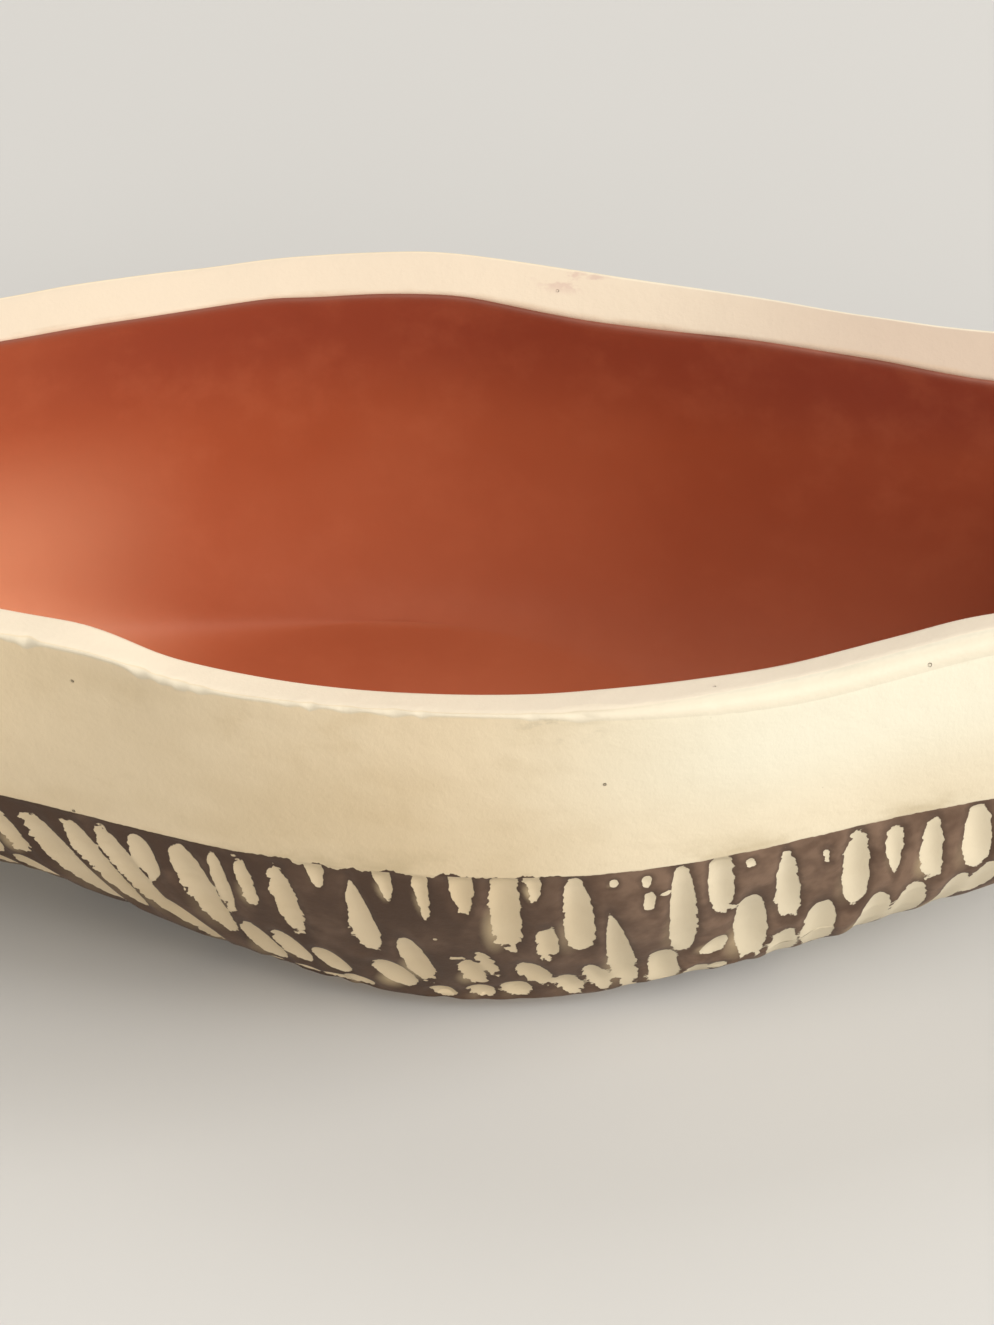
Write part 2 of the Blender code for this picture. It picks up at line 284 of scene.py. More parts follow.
# How far the hand-formed rim strays from its drawn line, in mm, up and away from the viewer:
# distance to the right of the middle, then the outer and inner edge at the front and at the back
RIM_HAND = (
    (-112, 0, 0, 0, 0), (-90, 0.4, 0.6, 0.3, 0.5), (-78, 0.5, 0.75, 0.45, 0.5),
    (-67, 0.6, 0.8, 0.55, 0.5), (-59, 0.8, 1.25, 0.25, 0.2), (-52, 0.9, 0.65, 0, 0.05),
    (-46, 0.4, -0.25, -0.3, 0), (-40, -0.1, -0.4, -0.4, 0.05), (-32, -0.2, -0.45, -0.15, 0.25),
    (-24, 0, -0.45, -0.1, -0.1), (-12, 0.2, -0.3, 0.15, 0.2), (-3, 0.4, -0.1, 0.4, 0.3),
    (4, 0.5, 0, 0.25, 0.35), (12, 0.5, 0.1, -0.05, -0.3), (20, 0.4, 0.15, -0.3, -0.85),
    (29, 0.2, 0.3, -0.4, -1.1), (38, 0.1, 0.2, -0.3, -0.85), (47, 0, 0, 0, -0.35),
    (55, -0.3, -0.3, 0.3, 0.3), (62, -0.4, -0.45, 0.5, 0.65), (70, -0.25, -0.25, 0.55, 0.8),
    (80, 0.1, 0.1, 0.65, 0.8), (88, 0.6, 0.65, 0.4, 0.2), (98, 0.6, 0.6, 0.4, -0.4),
    (112, 0, 0, 0, 0),
)


def rim_hand(shape, angle):
    """Strays of the rim's outer and inner edge, and 1 where the back side carries them out."""
    fine_step, easing = 0.5, 3.0
    table = np.array(RIM_HAND, float).T * MM
    x = rim_plan(shape, angle)[..., 0]
    fine = np.arange(-130, 130 + fine_step, fine_step) * MM
    bell = np.exp(-0.5 * (np.arange(-16, 17) * fine_step / easing) ** 2)
    back = np.sin(angle) > 0

    def eased(row):
        drawn = np.interp(fine, table[0], table[row])
        return np.interp(x, fine, np.convolve(drawn, bell / bell.sum(), "same"))

    outer, inner = (np.where(back, eased(row + 2), eased(row)) for row in (1, 2))
    return outer, inner, np.where(back, 1.0, -1.0)


def surface_frame(shape, surface, angle, turn):
    """Unit vectors on a surface: level along its ring, down it, and outward from it."""
    ring = unit(surface(shape, angle + NUDGE, turn) - surface(shape, angle - NUDGE, turn))
    last = 2 * QUARTER if surface is bowl_point else QUARTER
    low, high = np.maximum(turn - NUDGE, 0.0), np.minimum(turn + NUDGE, last)
    down = surface(shape, angle, high) - surface(shape, angle, low)
    outward = unit(np.cross(down, ring))
    return ring, np.cross(ring, outward), outward


def skin_point(shape, surface, angle, turn, outward):
    """Point of a surface moved square to it."""
    angle, turn = np.broadcast_arrays(np.asarray(angle, float), np.asarray(turn, float))
    return surface(shape, angle, turn) + outward * surface_frame(shape, surface, angle, turn)[2]


def skin_rings(shape, surface, angles, turns, outward):
    return [skin_point(shape, surface, angles, turn, outward) for turn in turns]


def level_ring(plan, z):
    """Ring of stations with one height, or a height for each station."""
    return np.concatenate((plan, np.broadcast_to(z, plan.shape[:-1])[..., None]), -1)


def rim_ring(shape, angles, outward, z):
    return level_ring(rim_plan(shape, angles, outward), z)


def run_along(points):
    """Distance of each point along a line."""
    steps = np.linalg.norm(np.diff(points, axis=0), axis=1)
    return np.concatenate(((0.0,), np.cumsum(steps)))


def station_angles(shape, count, front_share):
    """Stations round the outline, closer together at the front where the carving is finest."""
    samples, blur, front_reach = 4001, 60, 0.6
    fine = np.linspace(-QUARTER, 2 * math.pi - QUARTER, samples)
    plan = rim_plan(shape, fine)
    run = np.linalg.norm(np.diff(plan, axis=0), axis=1)
    middle = (plan[1:] + plan[:-1]) / 2
    front = (middle[:, 1] < 0) & (np.abs(middle[:, 0]) < front_reach * shape.half_length)
    weight = np.where(front, front_share, 1.0)
    window = np.ones(2 * blur + 1) / (2 * blur + 1)
    weight = np.convolve(np.concatenate((weight[-blur:], weight, weight[:blur])), window, "valid")
    reach = np.concatenate(((0.0,), np.cumsum(run * weight)))
    return np.interp(np.arange(count) * reach[-1] / count, reach, fine)


def new_object(name, verts, faces, material=None):
    mesh = bpy.data.meshes.new(name)
    mesh.from_pydata([tuple(v) for v in verts], [], faces)
    mesh.shade_smooth()
    if material:
        mesh.materials.append(material)
    piece = bpy.data.objects.new(name, mesh)
    bpy.context.scene.collection.objects.link(piece)
    return piece


def skinned(name, rings, material, closed=False):
    """Closed mesh over a stack of rings, facing outwards when they run down the outside.

    An open stack ends in a point at either end.
    """
    grid = np.stack(rings)
    count, stations = grid.shape[:2]
    verts = grid.reshape(-1, 3)
    starts = [ring * stations for ring in range(count)]
    pairs = list(zip(starts, starts[1:])) + [(starts[-1], 0)] * closed
    around = [(i, (i + 1) % stations) for i in range(stations)]
    faces = [(upper + i, lower + i, lower + j, upper + j)
             for upper, lower in pairs for i, j in around]
    if not closed:
        first, last = len(verts), len(verts) + 1
        verts = np.concatenate((verts, grid[:1].mean(1), grid[-1:].mean(1)))
        for i, j in around:
            faces += (first, i, j), (last, starts[-1] + j, starts[-1] + i)
    return new_object(name, verts, faces, material)


class Field:
    """A value that nodes work out, with arithmetic written as for numbers."""

    def __init__(self, nodes, socket):
        self.nodes, self.socket = nodes, socket

    def __add__(self, other):
        return self.nodes.maths("ADD", self, other)

    def __sub__(self, other):
        return self.nodes.maths("SUBTRACT", self, other)

    def __rsub__(self, other):
        return self.nodes.maths("SUBTRACT", other, self)

    def __mul__(self, other):
        return self.nodes.maths("MULTIPLY", self, other)

    def __truediv__(self, other):
        return self.nodes.maths("DIVIDE", self, other)

    def __pow__(self, other):
        return self.nodes.maths("POWER", self, other)

    def __abs__(self):
        return self.nodes.maths("ABSOLUTE", self)

    def clamped(self):
        """The same value, kept between 0 and 1."""
        self.socket.node.use_clamp = True
        return self


class Nodes:
    """Adds nodes to a tree and joins them."""

    def __init__(self, tree):
        self.tree = tree

    def add(self, kind, inputs=(), **settings):
        node = self.tree.nodes.new(kind)
        for name, value in settings.items():
            setattr(node, name, value)
        for key, value in dict(inputs).items():
            self.feed(node.inputs[key], value)
        return node

    def feed(self, socket, value):
        value = getattr(value, "socket", value)
        if isinstance(value, bpy.types.NodeSocket):
            self.tree.links.new(value, socket)
        else:
            socket.default_value = value

    def field(self, kind, inputs=(), output=0, **settings):
        return Field(self, self.add(kind, inputs, **settings).outputs[output])

    def maths(self, operation, *values):
        return self.field("ShaderNodeMath", enumerate(values), operation=operation)

    def vectors(self, operation, *values):
        output = "Value" if operation in ("DOT_PRODUCT", "LENGTH") else "Vector"
        return self.field("ShaderNodeVectorMath", enumerate(values), output, operation=operation)

    def attribute(self, name, kind="FLOAT"):
        return self.field("GeometryNodeInputNamedAttribute", {"Name": name}, "Attribute",
                          data_type=kind)

    def store(self, geometry, name, value, kind="FLOAT"):
        return self.field("GeometryNodeStoreNamedAttribute",
                          {"Geometry": geometry, "Name": name, "Value": value}, "Geometry",
                          data_type=kind, domain="POINT")

    def sampled(self, geometry, index, value, kind="FLOAT"):
        return self.field("GeometryNodeSampleIndex",
                          {"Geometry": geometry, "Value": value, "Index": index}, "Value",
                          data_type=kind, domain="POINT")


def larger(first, second):
    return first.nodes.maths("MAXIMUM", first, second)


def split(vector):
    """x, y and z of a vector."""
    parts = vector.nodes.add("ShaderNodeSeparateXYZ", {0: vector}).outputs
    return [Field(vector.nodes, part) for part in parts]


def gouge_tree():
    """Cuts every gouge of a guide into a skin and marks how far the clay is bared.

    Each gouge is a rounded trough, drawn out along its own axis, whose soft shoulder reaches past
    the bared clay. Where two meet, the deeper one rules, which leaves a crest between them.
    """
    narrowest, crest, near_share = 0.25, 0.2 * MM, 2.6
    side_power, end_power, roundness = 2.2, 2.6, 0.42
    smear_aside, smear_down, smear_stretch = 0.75, 0.45, 2.5
    tree = bpy.data.node_groups.new("gouge_the_slip", "GeometryNodeTree")
    for name, kind in (("Geometry", "Geometry"), ("Gouges", "Object"), ("Depth", "Float"),
                       ("Skirt", "Float"), ("Line Fade", "Float"), ("Finish", "Material")):
        tree.interface.new_socket(name, in_out="INPUT", socket_type="NodeSocket" + kind)
    tree.interface.new_socket("Geometry", in_out="OUTPUT", socket_type="NodeSocketGeometry")
    n = Nodes(tree)
    given = n.add("NodeGroupInput").outputs
    guide = n.field("GeometryNodeObjectInfo", {"Object": given["Gouges"]}, "Geometry")
    count = n.field("GeometryNodeAttributeDomainSize", {"Geometry": guide}, "Point Count",
                    component="MESH")
    loop_in = n.add("GeometryNodeRepeatInput")
    loop_out = n.add("GeometryNodeRepeatOutput")
    loop_in.pair_with_output(loop_out)
    loop_out.repeat_items.new("INT", "Gouge")
    n.feed(loop_in.inputs["Iterations"], count)
    n.feed(loop_in.inputs["Geometry"],
           n.store(given["Geometry"], "marks", (0.0, -1.0, 0.0), VECTOR))
    which = Field(n, loop_in.outputs["Gouge"])

    def of_gouge(name, kind="FLOAT"):
        return n.sampled(guide, which, n.attribute(name, kind), kind)

    here = n.field("GeometryNodeInputPosition")
    offset = n.vectors("SUBTRACT", here, n.sampled(guide, which, here, VECTOR))
    across = n.vectors("DOT_PRODUCT", offset, of_gouge("across", VECTOR))
    half_length, half_width = of_gouge("half_length"), of_gouge("half_width")
    part = n.vectors("DOT_PRODUCT", offset, of_gouge("down", VECTOR)) / half_length
    aside = across / (half_width * larger(part * of_gouge("taper") + 1, narrowest))
    radius = (abs(aside) ** side_power + abs(part) ** end_power) ** roundness
    wave = n.maths("COSINE", (radius / given["Skirt"]).clamped() * math.pi)
    trough = (wave * 0.5 + 0.5) * (of_gouge("depth_share") * given["Depth"])
    left, low = aside + smear_aside, part - smear_down
    from_smear = n.maths("SQRT", left * left + low * low * smear_stretch)
    fading = (1 - from_smear).clamped() * of_gouge("smear")
    near = n.maths("LESS_THAN", n.vectors("LENGTH", offset),
                   larger(half_length, half_width) * near_share)

    cut, bare, thin = split(n.attribute("marks", VECTOR))
    deeper = n.maths("SMOOTH_MAX", cut, trough * near, crest)
    barer = larger(bare, (1 - radius) * half_width - (1 - near))
    joined = n.field("ShaderNodeCombineXYZ",
                     enumerate((deeper, barer, larger(thin, fading * near))))
    n.feed(loop_out.inputs["Geometry"],
           n.store(loop_in.outputs["Geometry"], "marks", joined, VECTOR))
    n.feed(loop_out.inputs["Gouge"], which + 1)

    cut, bare, thin = split(n.attribute("marks", VECTOR))
    soft = n.field("GeometryNodeBlurAttribute", {"Value": cut, "Iterations": 1})
    from_line = (n.attribute("below") / given["Line Fade"]).clamped()
    sunk = soft * from_line * n.attribute("outer_face")
    push = n.vectors("MULTIPLY", n.attribute("outward", VECTOR), sunk * -1)
    skin = n.field("GeometryNodeSetPosition",
                   {"Geometry": loop_out.outputs["Geometry"], "Offset": push})
    skin = n.store(n.store(skin, "bared", bare * 1000), "thin_slip", thin)
    skin = n.field("GeometryNodeRealizeInstances", {"Geometry": skin})
    skin = n.field("GeometryNodeSetMaterial", {"Geometry": skin, "Material": given["Finish"]})
    n.add("NodeGroupOutput", {"Geometry": skin})
    return tree


def add_attribute(mesh, name, values, kind="FLOAT"):
    attribute = mesh.attributes.new(name, kind, "POINT")
    attribute.data.foreach_set("vector" if kind == VECTOR else "value",
                               np.asarray(values, np.float32).ravel())


def run_below_wall(shape, angles):
    """Turns down the hull, and how far each lies below the wall, square to the rings."""
    turns = QUARTER * np.linspace(0, 1, 181) ** 1.3
    every_angle, every_turn = np.meshgrid(angles, turns)
    grid = hull_point(shape, every_angle, every_turn)
    ring = surface_frame(shape, hull_point, every_angle, every_turn)[0]
    step = np.diff(grid, axis=0)
    square = np.linalg.norm(np.cross(step, (ring[1:] + ring[:-1]) / 2), axis=-1)
    return turns, np.concatenate((np.zeros((1, len(angles))), np.cumsum(square, 0)))


# Gouges at the front, row by row from left to right, in mm and degrees: distance to the right of
# the bowl's middle, top and bottom end below the wall, width, lean, and widening downwards
FRONT_GOUGES = (
    (-82, 3, 25, 4.6, 12, 0), (-76.5, 4, 22, 4, 10, 0), (-71.4, 4.5, 19, 4, 14, 0),
    (-60.8, 3.4, 37, 6.4, 17, -0.1), (-55.4, 2.6, 31, 5.2, 17, -0.1),
    (-49.4, 2.2, 32, 5, 17, -0.1), (-47.3, 2.4, 15, 4.5, 6, 0), (-38.6, 2.2, 31, 5.7, 12, -0.2),
    (-34.9, 2.2, 19.5, 2.9, 5, 0), (-30.5, 2, 16, 2.7, 7, 0), (-23.5, 2.5, 23.5, 4.1, 7, 0.1),
    (-19, -2, 7, 2.8, 4, -0.35), (-12, 3.5, 26, 4.2, 6, 0.5), (-7, -2, 8.5, 2.6, 8, -0.4),
    (-1.5, -2, 12, 2.4, 5, -0.3), (5, -3, 11, 3.9, 3, -0.25), (12.5, -4, 23.5, 5.2, 3, 0.05),
    (17.5, -2, 7, 2.8, 6, -0.35), (24.5, 1, 25.5, 5.1, 6, 0.15), (30, 2, 4, 1.5, 1, 0),
    (35, 2, 5, 1.8, 4, 0), (36, 6.5, 12, 2.1, 3, 0), (42, 0.5, 32, 4.7, 7, 0.15),
    (48.5, -1, 18.5, 4.5, 8, -0.05), (53, 2, 4.7, 1.8, 7, 0), (59.5, 2.5, 24, 4.2, 9, 0.35),
    (65, 3.5, 8, 1.5, 9, 0), (70.5, 1.5, 22.5, 4.7, 5, 0.1), (77, 2, 15, 2.9, 6, -0.4),
    (83.5, 2.5, 18, 3.9, 4, 0.1), (91, 1, 17, 5.2, 4, 0.1),
    (-67.5, 21.5, 36, 5.6, 22, 0), (-42, 21.8, 38.5, 5.6, 24, 0), (-29.3, 23.4, 40, 5, 13, 0.1),
    (-23.6, 24.4, 37.5, 4.7, 17, 0.1), (-16.8, 28.5, 40, 4.6, 20, 0),
    (-6.1, 30.3, 43, 5.6, 21, 0), (-2.2, 20, 38, 4.6, 12, 0.1),
    (6.5, 27.6, 38.2, 4.2, 12, 0), (9.7, 24, 33.8, 2.8, 18, 0), (17.7, 28.3, 41, 4.5, 25, 0),
    (19.8, 15.3, 27.5, 3.6, 4, 0), (23.2, 35.5, 44.5, 4.2, 22, 0), (27.7, 31.5, 44, 3.6, 18, 0),
    (31.8, 12.8, 43.5, 4.3, 11, 0.42), (39.5, 29.2, 43.2, 5.3, 7, 0),
    (47.8, 26.5, 33.5, 3.4, -28, 0), (48.5, 35.5, 39.5, 3, -30, 0), (44.8, 38, 45.5, 4.6, -12, 0),
    (53.9, 13.9, 36, 5.9, 6, 0.1), (60.1, 28.7, 41.5, 5, 1, 0), (65.7, 20.2, 37.5, 5.8, 0, 0.1),
    (75.1, 20.8, 38, 5.6, -2, 0.1), (81.1, 19, 37, 5.8, -2, 0.1), (88, 19, 35.5, 5, -5, 0),
    (93.5, 17, 30, 5, -5, 0),
    (-79, 29, 40, 4.6, 12, 0), (-73, 24, 38.5, 4.8, 14, 0), (-68, 32, 43, 4.8, 14, 0),
    (-62.5, 38, 48, 4.6, 14, 0), (-56.5, 39, 49, 4.6, 14, 0), (-50.5, 36.5, 47.5, 4.6, 14, 0),
    (-44, 41.5, 49.5, 4.4, 16, 0), (-37.6, 34.5, 45.5, 4.8, 18, 0), (-31.5, 39.5, 47.5, 5, 24, 0),
    (-22, 40.5, 45.5, 4.6, 36, 0),
    (-26.5, 40.5, 47, 4.2, 24, 0), (-17, 41.4, 46.6, 4.2, 30, 0), (-12.8, 40, 46.2, 4.4, 30, 0),
    (1.9, 40.5, 46, 4.2, 28, 0), (8.3, 39.3, 45.5, 4.4, 26, 0), (14.5, 38, 45.2, 5, 26, 0),
    (34, 44, 48, 4, 0, 0), (52, 41.5, 48, 4.6, -6, 0), (58.5, 42.5, 49, 4.4, 0, 0),
    (69.4, 38.5, 44.5, 5.2, -8, 0), (86.5, 37, 46, 4.6, 0, 0),
    (4.6, 24.9, 27.6, 1.2, 86, 0), (50.2, 15.4, 18, 1.2, 88, 0), (38.9, 6.6, 8.8, 1.1, 84, 0),
)


class HullMap:
    """Finds places on the hull by their distance below the wall."""

    def __init__(self, shape, angles):
        self.shape, self.angles = shape, angles
        self.turns, self.below = run_below_wall(shape, angles)

    def turn(self, distance, station):
        return float(np.interp(distance, self.below[:, station], self.turns))

    def ring(self, distance):
        """Points all round the hull at one distance below the wall."""
        turns = np.array([self.turn(distance, i) for i in range(len(self.angles))])
        return hull_point(self.shape, self.angles, turns)


# A gouge: its station on the hull, how far it lies to the right and below the wall, its size,
# its lean, how it widens downwards and how far slip is smeared over it
Gouge = namedtuple("Gouge", "angle turn along below half_length half_width lean taper smear")


def front_gouges(shape, scatter):
    """The listed gouges at the front."""
    places = HullMap(shape, np.linspace(math.pi * 1.1, math.pi * 1.95, 361))
    gouges = []
    for x, top, bottom, width, lean, taper in FRONT_GOUGES:
        below = (top + bottom) / 2 * MM
        station = int(np.argmin(np.abs(places.ring(max(below, 0.0))[:, 0] - x * MM)))
        gouges.append(Gouge(float(places.angles[station]), places.turn(below, station), x * MM,
                            below, (bottom - top) / 2 * MM, width / 2 * MM, math.radians(lean),
                            taper, scatter.random() ** 2))
    return gouges


def clear_of(front, gouge, y, reach):
    """Whether a gouge lies clear of the listed ones."""
    if y > 0:
        return True
    if reach[0] < gouge.along < reach[1] and gouge.below < 22 * MM:
        return False
    return all(((gouge.along - g.along) / (g.half_width + gouge.half_width)) ** 2
               + ((gouge.below - g.below) / (g.half_length + gouge.half_length)) ** 2 > 1.1
               for g in front)


def gouge_rows(shape, cut):
    """Every gouge of the band: the listed ones, then row by row from the wall to the foot."""
    first_edge, row_step, shrink = 1.8 * MM, 0.9, 0.8
    dots, short_ones = 0.12, 0.28
    scatter = random.Random(cut.seed)
    front = front_gouges(shape, scatter)
    beside = cut.pitch * 0.7
    reach = front[0].along - beside, max(g.along for g in front) + beside
    gouges = list(front)
    places = HullMap(shape, np.linspace(-QUARTER, 2 * math.pi - QUARTER, 721))
    deepest = places.below[-1].max() - cut.foot_margin
    edge, row = first_edge, 0
    while edge < deepest:
        row_length = max(cut.first_length * shrink ** row, cut.last_length)
        middle = edge + row_length / 2
        ring = places.ring(middle)
        run = run_along(ring)
        count = int(round(run[-1] / cut.pitch))
        for i in range(count):
            at = run[-1] * (i + 0.5 * (row % 2) + scatter.uniform(-0.14, 0.14)) / count
            station = int(np.interp(at, run, np.arange(len(run))))
            chance = scatter.random()
            half_width = cut.width / 2 * scatter.uniform(0.75, 1.25)
            half_length = row_length / 2 * scatter.uniform(0.72, 1.1)
            shift = scatter.uniform(-0.1, 0.12) * row_length
            lean = cut.lean + scatter.gauss(0, math.radians(4))
            taper = scatter.uniform(-0.1, 0.35)
            smear = scatter.random() ** 2
            if row == 0 and chance < dots:
                half_length, half_width = half_width * 0.5, half_width * 0.4
                shift -= row_length * 0.3
            elif row == 0 and chance < short_ones:
                half_length *= 0.5
                shift -= row_length * 0.32
            below = middle + shift
            if below + half_length + cut.foot_margin > places.below[-1, station]:
                continue
            x, y = ring[station, :2]
            gouge = Gouge(float(places.angles[station]), places.turn(below, station), x, below,
                          half_length, half_width, lean, taper, smear)
            if clear_of(front, gouge, y, reach):
                gouges.append(gouge)
        edge += row_length * row_step
        row += 1
    return gouges


def gouge_guide(shape, cut):
    """A point for each gouge on the hull, with its size and its own axes."""
    deepest_share = 1.3
    every = Gouge(*np.array(gouge_rows(shape, cut)).T)
    ring, down, _ = surface_frame(shape, hull_point, every.angle, every.turn)
    c, s = np.cos(every.lean)[:, None], np.sin(every.lean)[:, None]
    guide = new_object("gouge_guide", hull_point(shape, every.angle, every.turn), [])
    add_attribute(guide.data, "across", ring * c - down * s, VECTOR)
    add_attribute(guide.data, "down", down * c + ring * s, VECTOR)
    for name in ("half_length", "half_width", "taper", "smear"):
        add_attribute(guide.data, name, getattr(every, name))
    add_attribute(guide.data, "depth_share",
                  np.minimum(every.half_width / (cut.width / 2), deepest_share))
    return guide


def plain_mesh(piece):
    """Swaps a piece for the plain mesh of what its modifiers make."""
    graph = bpy.context.evaluated_depsgraph_get()
    done = bpy.data.meshes.new_from_object(piece.evaluated_get(graph), depsgraph=graph)
    piece.modifiers.clear()
    rough = piece.data
    piece.data = done
    bpy.data.meshes.remove(rough)
    done.name = piece.name


def set_input(modifier, name, value):
    """Sets a node tree's input by its identifier."""
    for item in modifier.node_group.interface.items_tree:
        if item.item_type == "SOCKET" and item.in_out == "INPUT" and item.name == name:
            modifier[item.identifier] = value
            return
    raise KeyError(name)


# Height of the wall's foot, where the slip begins, in mm
WALL_FOOT = 47
# Where the arris ends, in mm over the rim from its inner edge
ARRIS_END = 9.8

# Tones of small marks, and of painted highlight and painted shade
# Painted highlight on the upper wall at the left end
LEFT_WALL_HIGHLIGHT = (0.98, 0.80, 0.54)
SLIP_SMUDGE = (0.50, 0.39, 0.22)
CLAY_PINHOLE = (0.20, 0.15, 0.09)
# Painted shade on the back rim face towards the right end
BACK_RIGHT_RIM_SHADE = (0.57, 0.44, 0.34)
ARRIS_STAIN = (0.50, 0.42, 0.28)
ARRIS_PINHOLE = (0.16, 0.13, 0.09)
GLAZE_TINGE = (0.58, 0.40, 0.26)
# Painted shade that tones down the outer arris where it catches the light
ARRIS_SHADE = (0.75, 0.67, 0.52)
FIRED_MARK = (0.56, 0.36, 0.31)
SOOT = (0.46, 0.40, 0.28)
# Darker tone over the inner part of the rim face at the front right
FRONT_RIGHT_RIM_TONE = (0.74, 0.63, 0.52)
# Painted shade on the slip's shoulders round each gouge
GOUGE_SIDE_SHADE = (0.070, 0.040, 0.026)
# Painted shade along the glaze's shoulder under the rim
LIP_SHADE = (0.20, 0.062, 0.034)
# Painted highlight on the glaze's shoulder at the back right
LIP_HIGHLIGHT = (0.42, 0.14, 0.085)
GLAZE_SPECK = (0.66, 0.38, 0.26)


def new_material(name, look, settings, gloss):
    """A material whose look gives its colour, roughness and relief in mm from its place."""
    material = bpy.data.materials.new(name)
    material.use_nodes = True
    n = Nodes(material.node_tree)
    shader = material.node_tree.nodes["Principled BSDF"]
    place = n.field("ShaderNodeTexCoord", output="Object")
    tone, roughness, height = look(place, settings)
    n.feed(shader.inputs["Base Color"], tone)
    n.feed(shader.inputs["Roughness"], roughness)
    shader.inputs["Specular IOR Level"].default_value = gloss
    if height:
        n.feed(shader.inputs["Normal"],
               n.field("ShaderNodeBump", {"Height": height, "Distance": MM, "Strength": 1.0}))
    return material


def noise(place, scale, detail=2.0, roughness=0.5, stretch=None):
    """Noise with so many features to the metre, even drawn out along an axis."""
    n = place.nodes
    if stretch:
        place = n.field("ShaderNodeMapping", {"Vector": place, "Scale": stretch})
    return n.field("ShaderNodeTexNoise", {"Vector": place, "Scale": scale, "Detail": detail,
                                          "Roughness": roughness}, "Fac")


def rise(value, low, high):
    """0 below low, 1 above high, with a soft turn at either."""
    return value.nodes.field("ShaderNodeMapRange",
                             {"Value": value, "From Min": low, "From Max": high}, "Result",
                             interpolation_type="SMOOTHSTEP", clamp=True)


def fall(value, low, high):
    """1 below low, 0 above high."""
    return 1 - rise(value, low, high)


def coated(base, *coats):
    """A tone under coats of others, each given as how far it covers, and its own tone."""
    for cover, tone in coats:
        n = cover.nodes
        node = n.add("ShaderNodeMix", {0: cover}, data_type="RGBA", clamp_factor=True)
        for socket, value in ((node.inputs[6], base), (node.inputs[7], tone)):
            n.feed(socket, value if isinstance(value, Field) else (*value, 1.0))
        base = Field(n, node.outputs[2])
    return base


def mark(place, name):
    """One of the piece's own attributes."""
    return place.nodes.field("ShaderNodeAttribute", output="Fac", attribute_name=name)


def pits(place, spacing, radius, share_of_cells):
    """Pinholes: 1 in a few small round spots scattered over the surface, 0 elsewhere."""
    n = place.nodes
    cells = n.add("ShaderNodeTexVoronoi", {"Vector": place, "Scale": 1 / spacing,
                                           "Randomness": 1.0}, feature="F1").outputs
    chance = n.field("ShaderNodeSeparateColor", {"Color": cells["Color"]}, "Red")
    size = n.maths("LESS_THAN", chance, share_of_cells) * (radius / spacing)
    return rise(size - cells["Distance"], 0.0, 0.35 * radius / spacing)


def local_mark(place, centre, stretch, reach, grain, threshold):
    """A ragged mark round one place: 1 inside, 0 elsewhere."""
    n = place.nodes
    offset = n.vectors("MULTIPLY", n.vectors("SUBTRACT", place, centre), stretch)
    torn = rise(noise(place, grain, 4, 0.6, stretch), threshold, threshold + 0.08)
    return fall(n.vectors("LENGTH", offset), 0.6 * reach, reach) * torn


def joint_stray(place, x):
    """How far the slip's upper edge strays up from the foot of the wall, in mm."""
    swing = rise(x, -0.034, -0.020) * fall(x, 0.012, 0.026) * 4.2 + 0.8
    return (noise(place, 300, 3, 0.6, (1, 1, 0.12)) - 0.5) * swing - 0.12


# In the looks, x, y and z are places on the bowl in metres. Distances over the rim and below the
# wall are in mm. Each rise and fall names the two places between which a tone sets in or fades.


def bare_clay(place, finish):
    """Tone, relief and grain of the cream clay, clouded along the way it was wiped.

    The upper wall carries painted highlight towards the right end and at the left end.
    """
    x, _, z = split(place)
    cloud = rise(noise(place, 22, 3, 0.6, (1, 1, 1.6)), 0.40, 0.64)
    patch = rise(noise(place, 90, 4, 0.65, (1, 1, 1.8)), 0.50, 0.72)
    grain = noise(place, 1400, 3, 0.6)
    # Upper part of the wall, where the painted highlights are strongest
    high = rise(z, 0.050, 0.070)
    # Painted highlight: the wall is painted paler towards its right end, more so near the top
    pale = rise(x, -0.004, 0.060) * (high * 0.50 + 0.45)
    # Painted highlight on the upper wall at the left end
    left = fall(x, -0.085, -0.045) * high
    beside_slip = (1 - abs(z - 0.0478) / 0.0050).clamped()
    smudge = beside_slip * rise(noise(place, 45, 4, 0.6, (1, 1, 2)), 0.45, 0.66)
    holes = pits(place, 0.0085, 0.00034, 0.55)
    shade = finish.clay_shade
    tone = coated(finish.clay, (cloud * 0.50, shade), (patch * 0.30, shade),
                  (pale, finish.clay_painted_highlight), (left * 0.8, LEFT_WALL_HIGHLIGHT), (smudge * 0.5, SLIP_SMUDGE),
                  (holes * 0.7, CLAY_PINHOLE))
    return tone, grain * 0.05 + noise(place, 240, 2) * 0.12 + holes * -0.6, grain


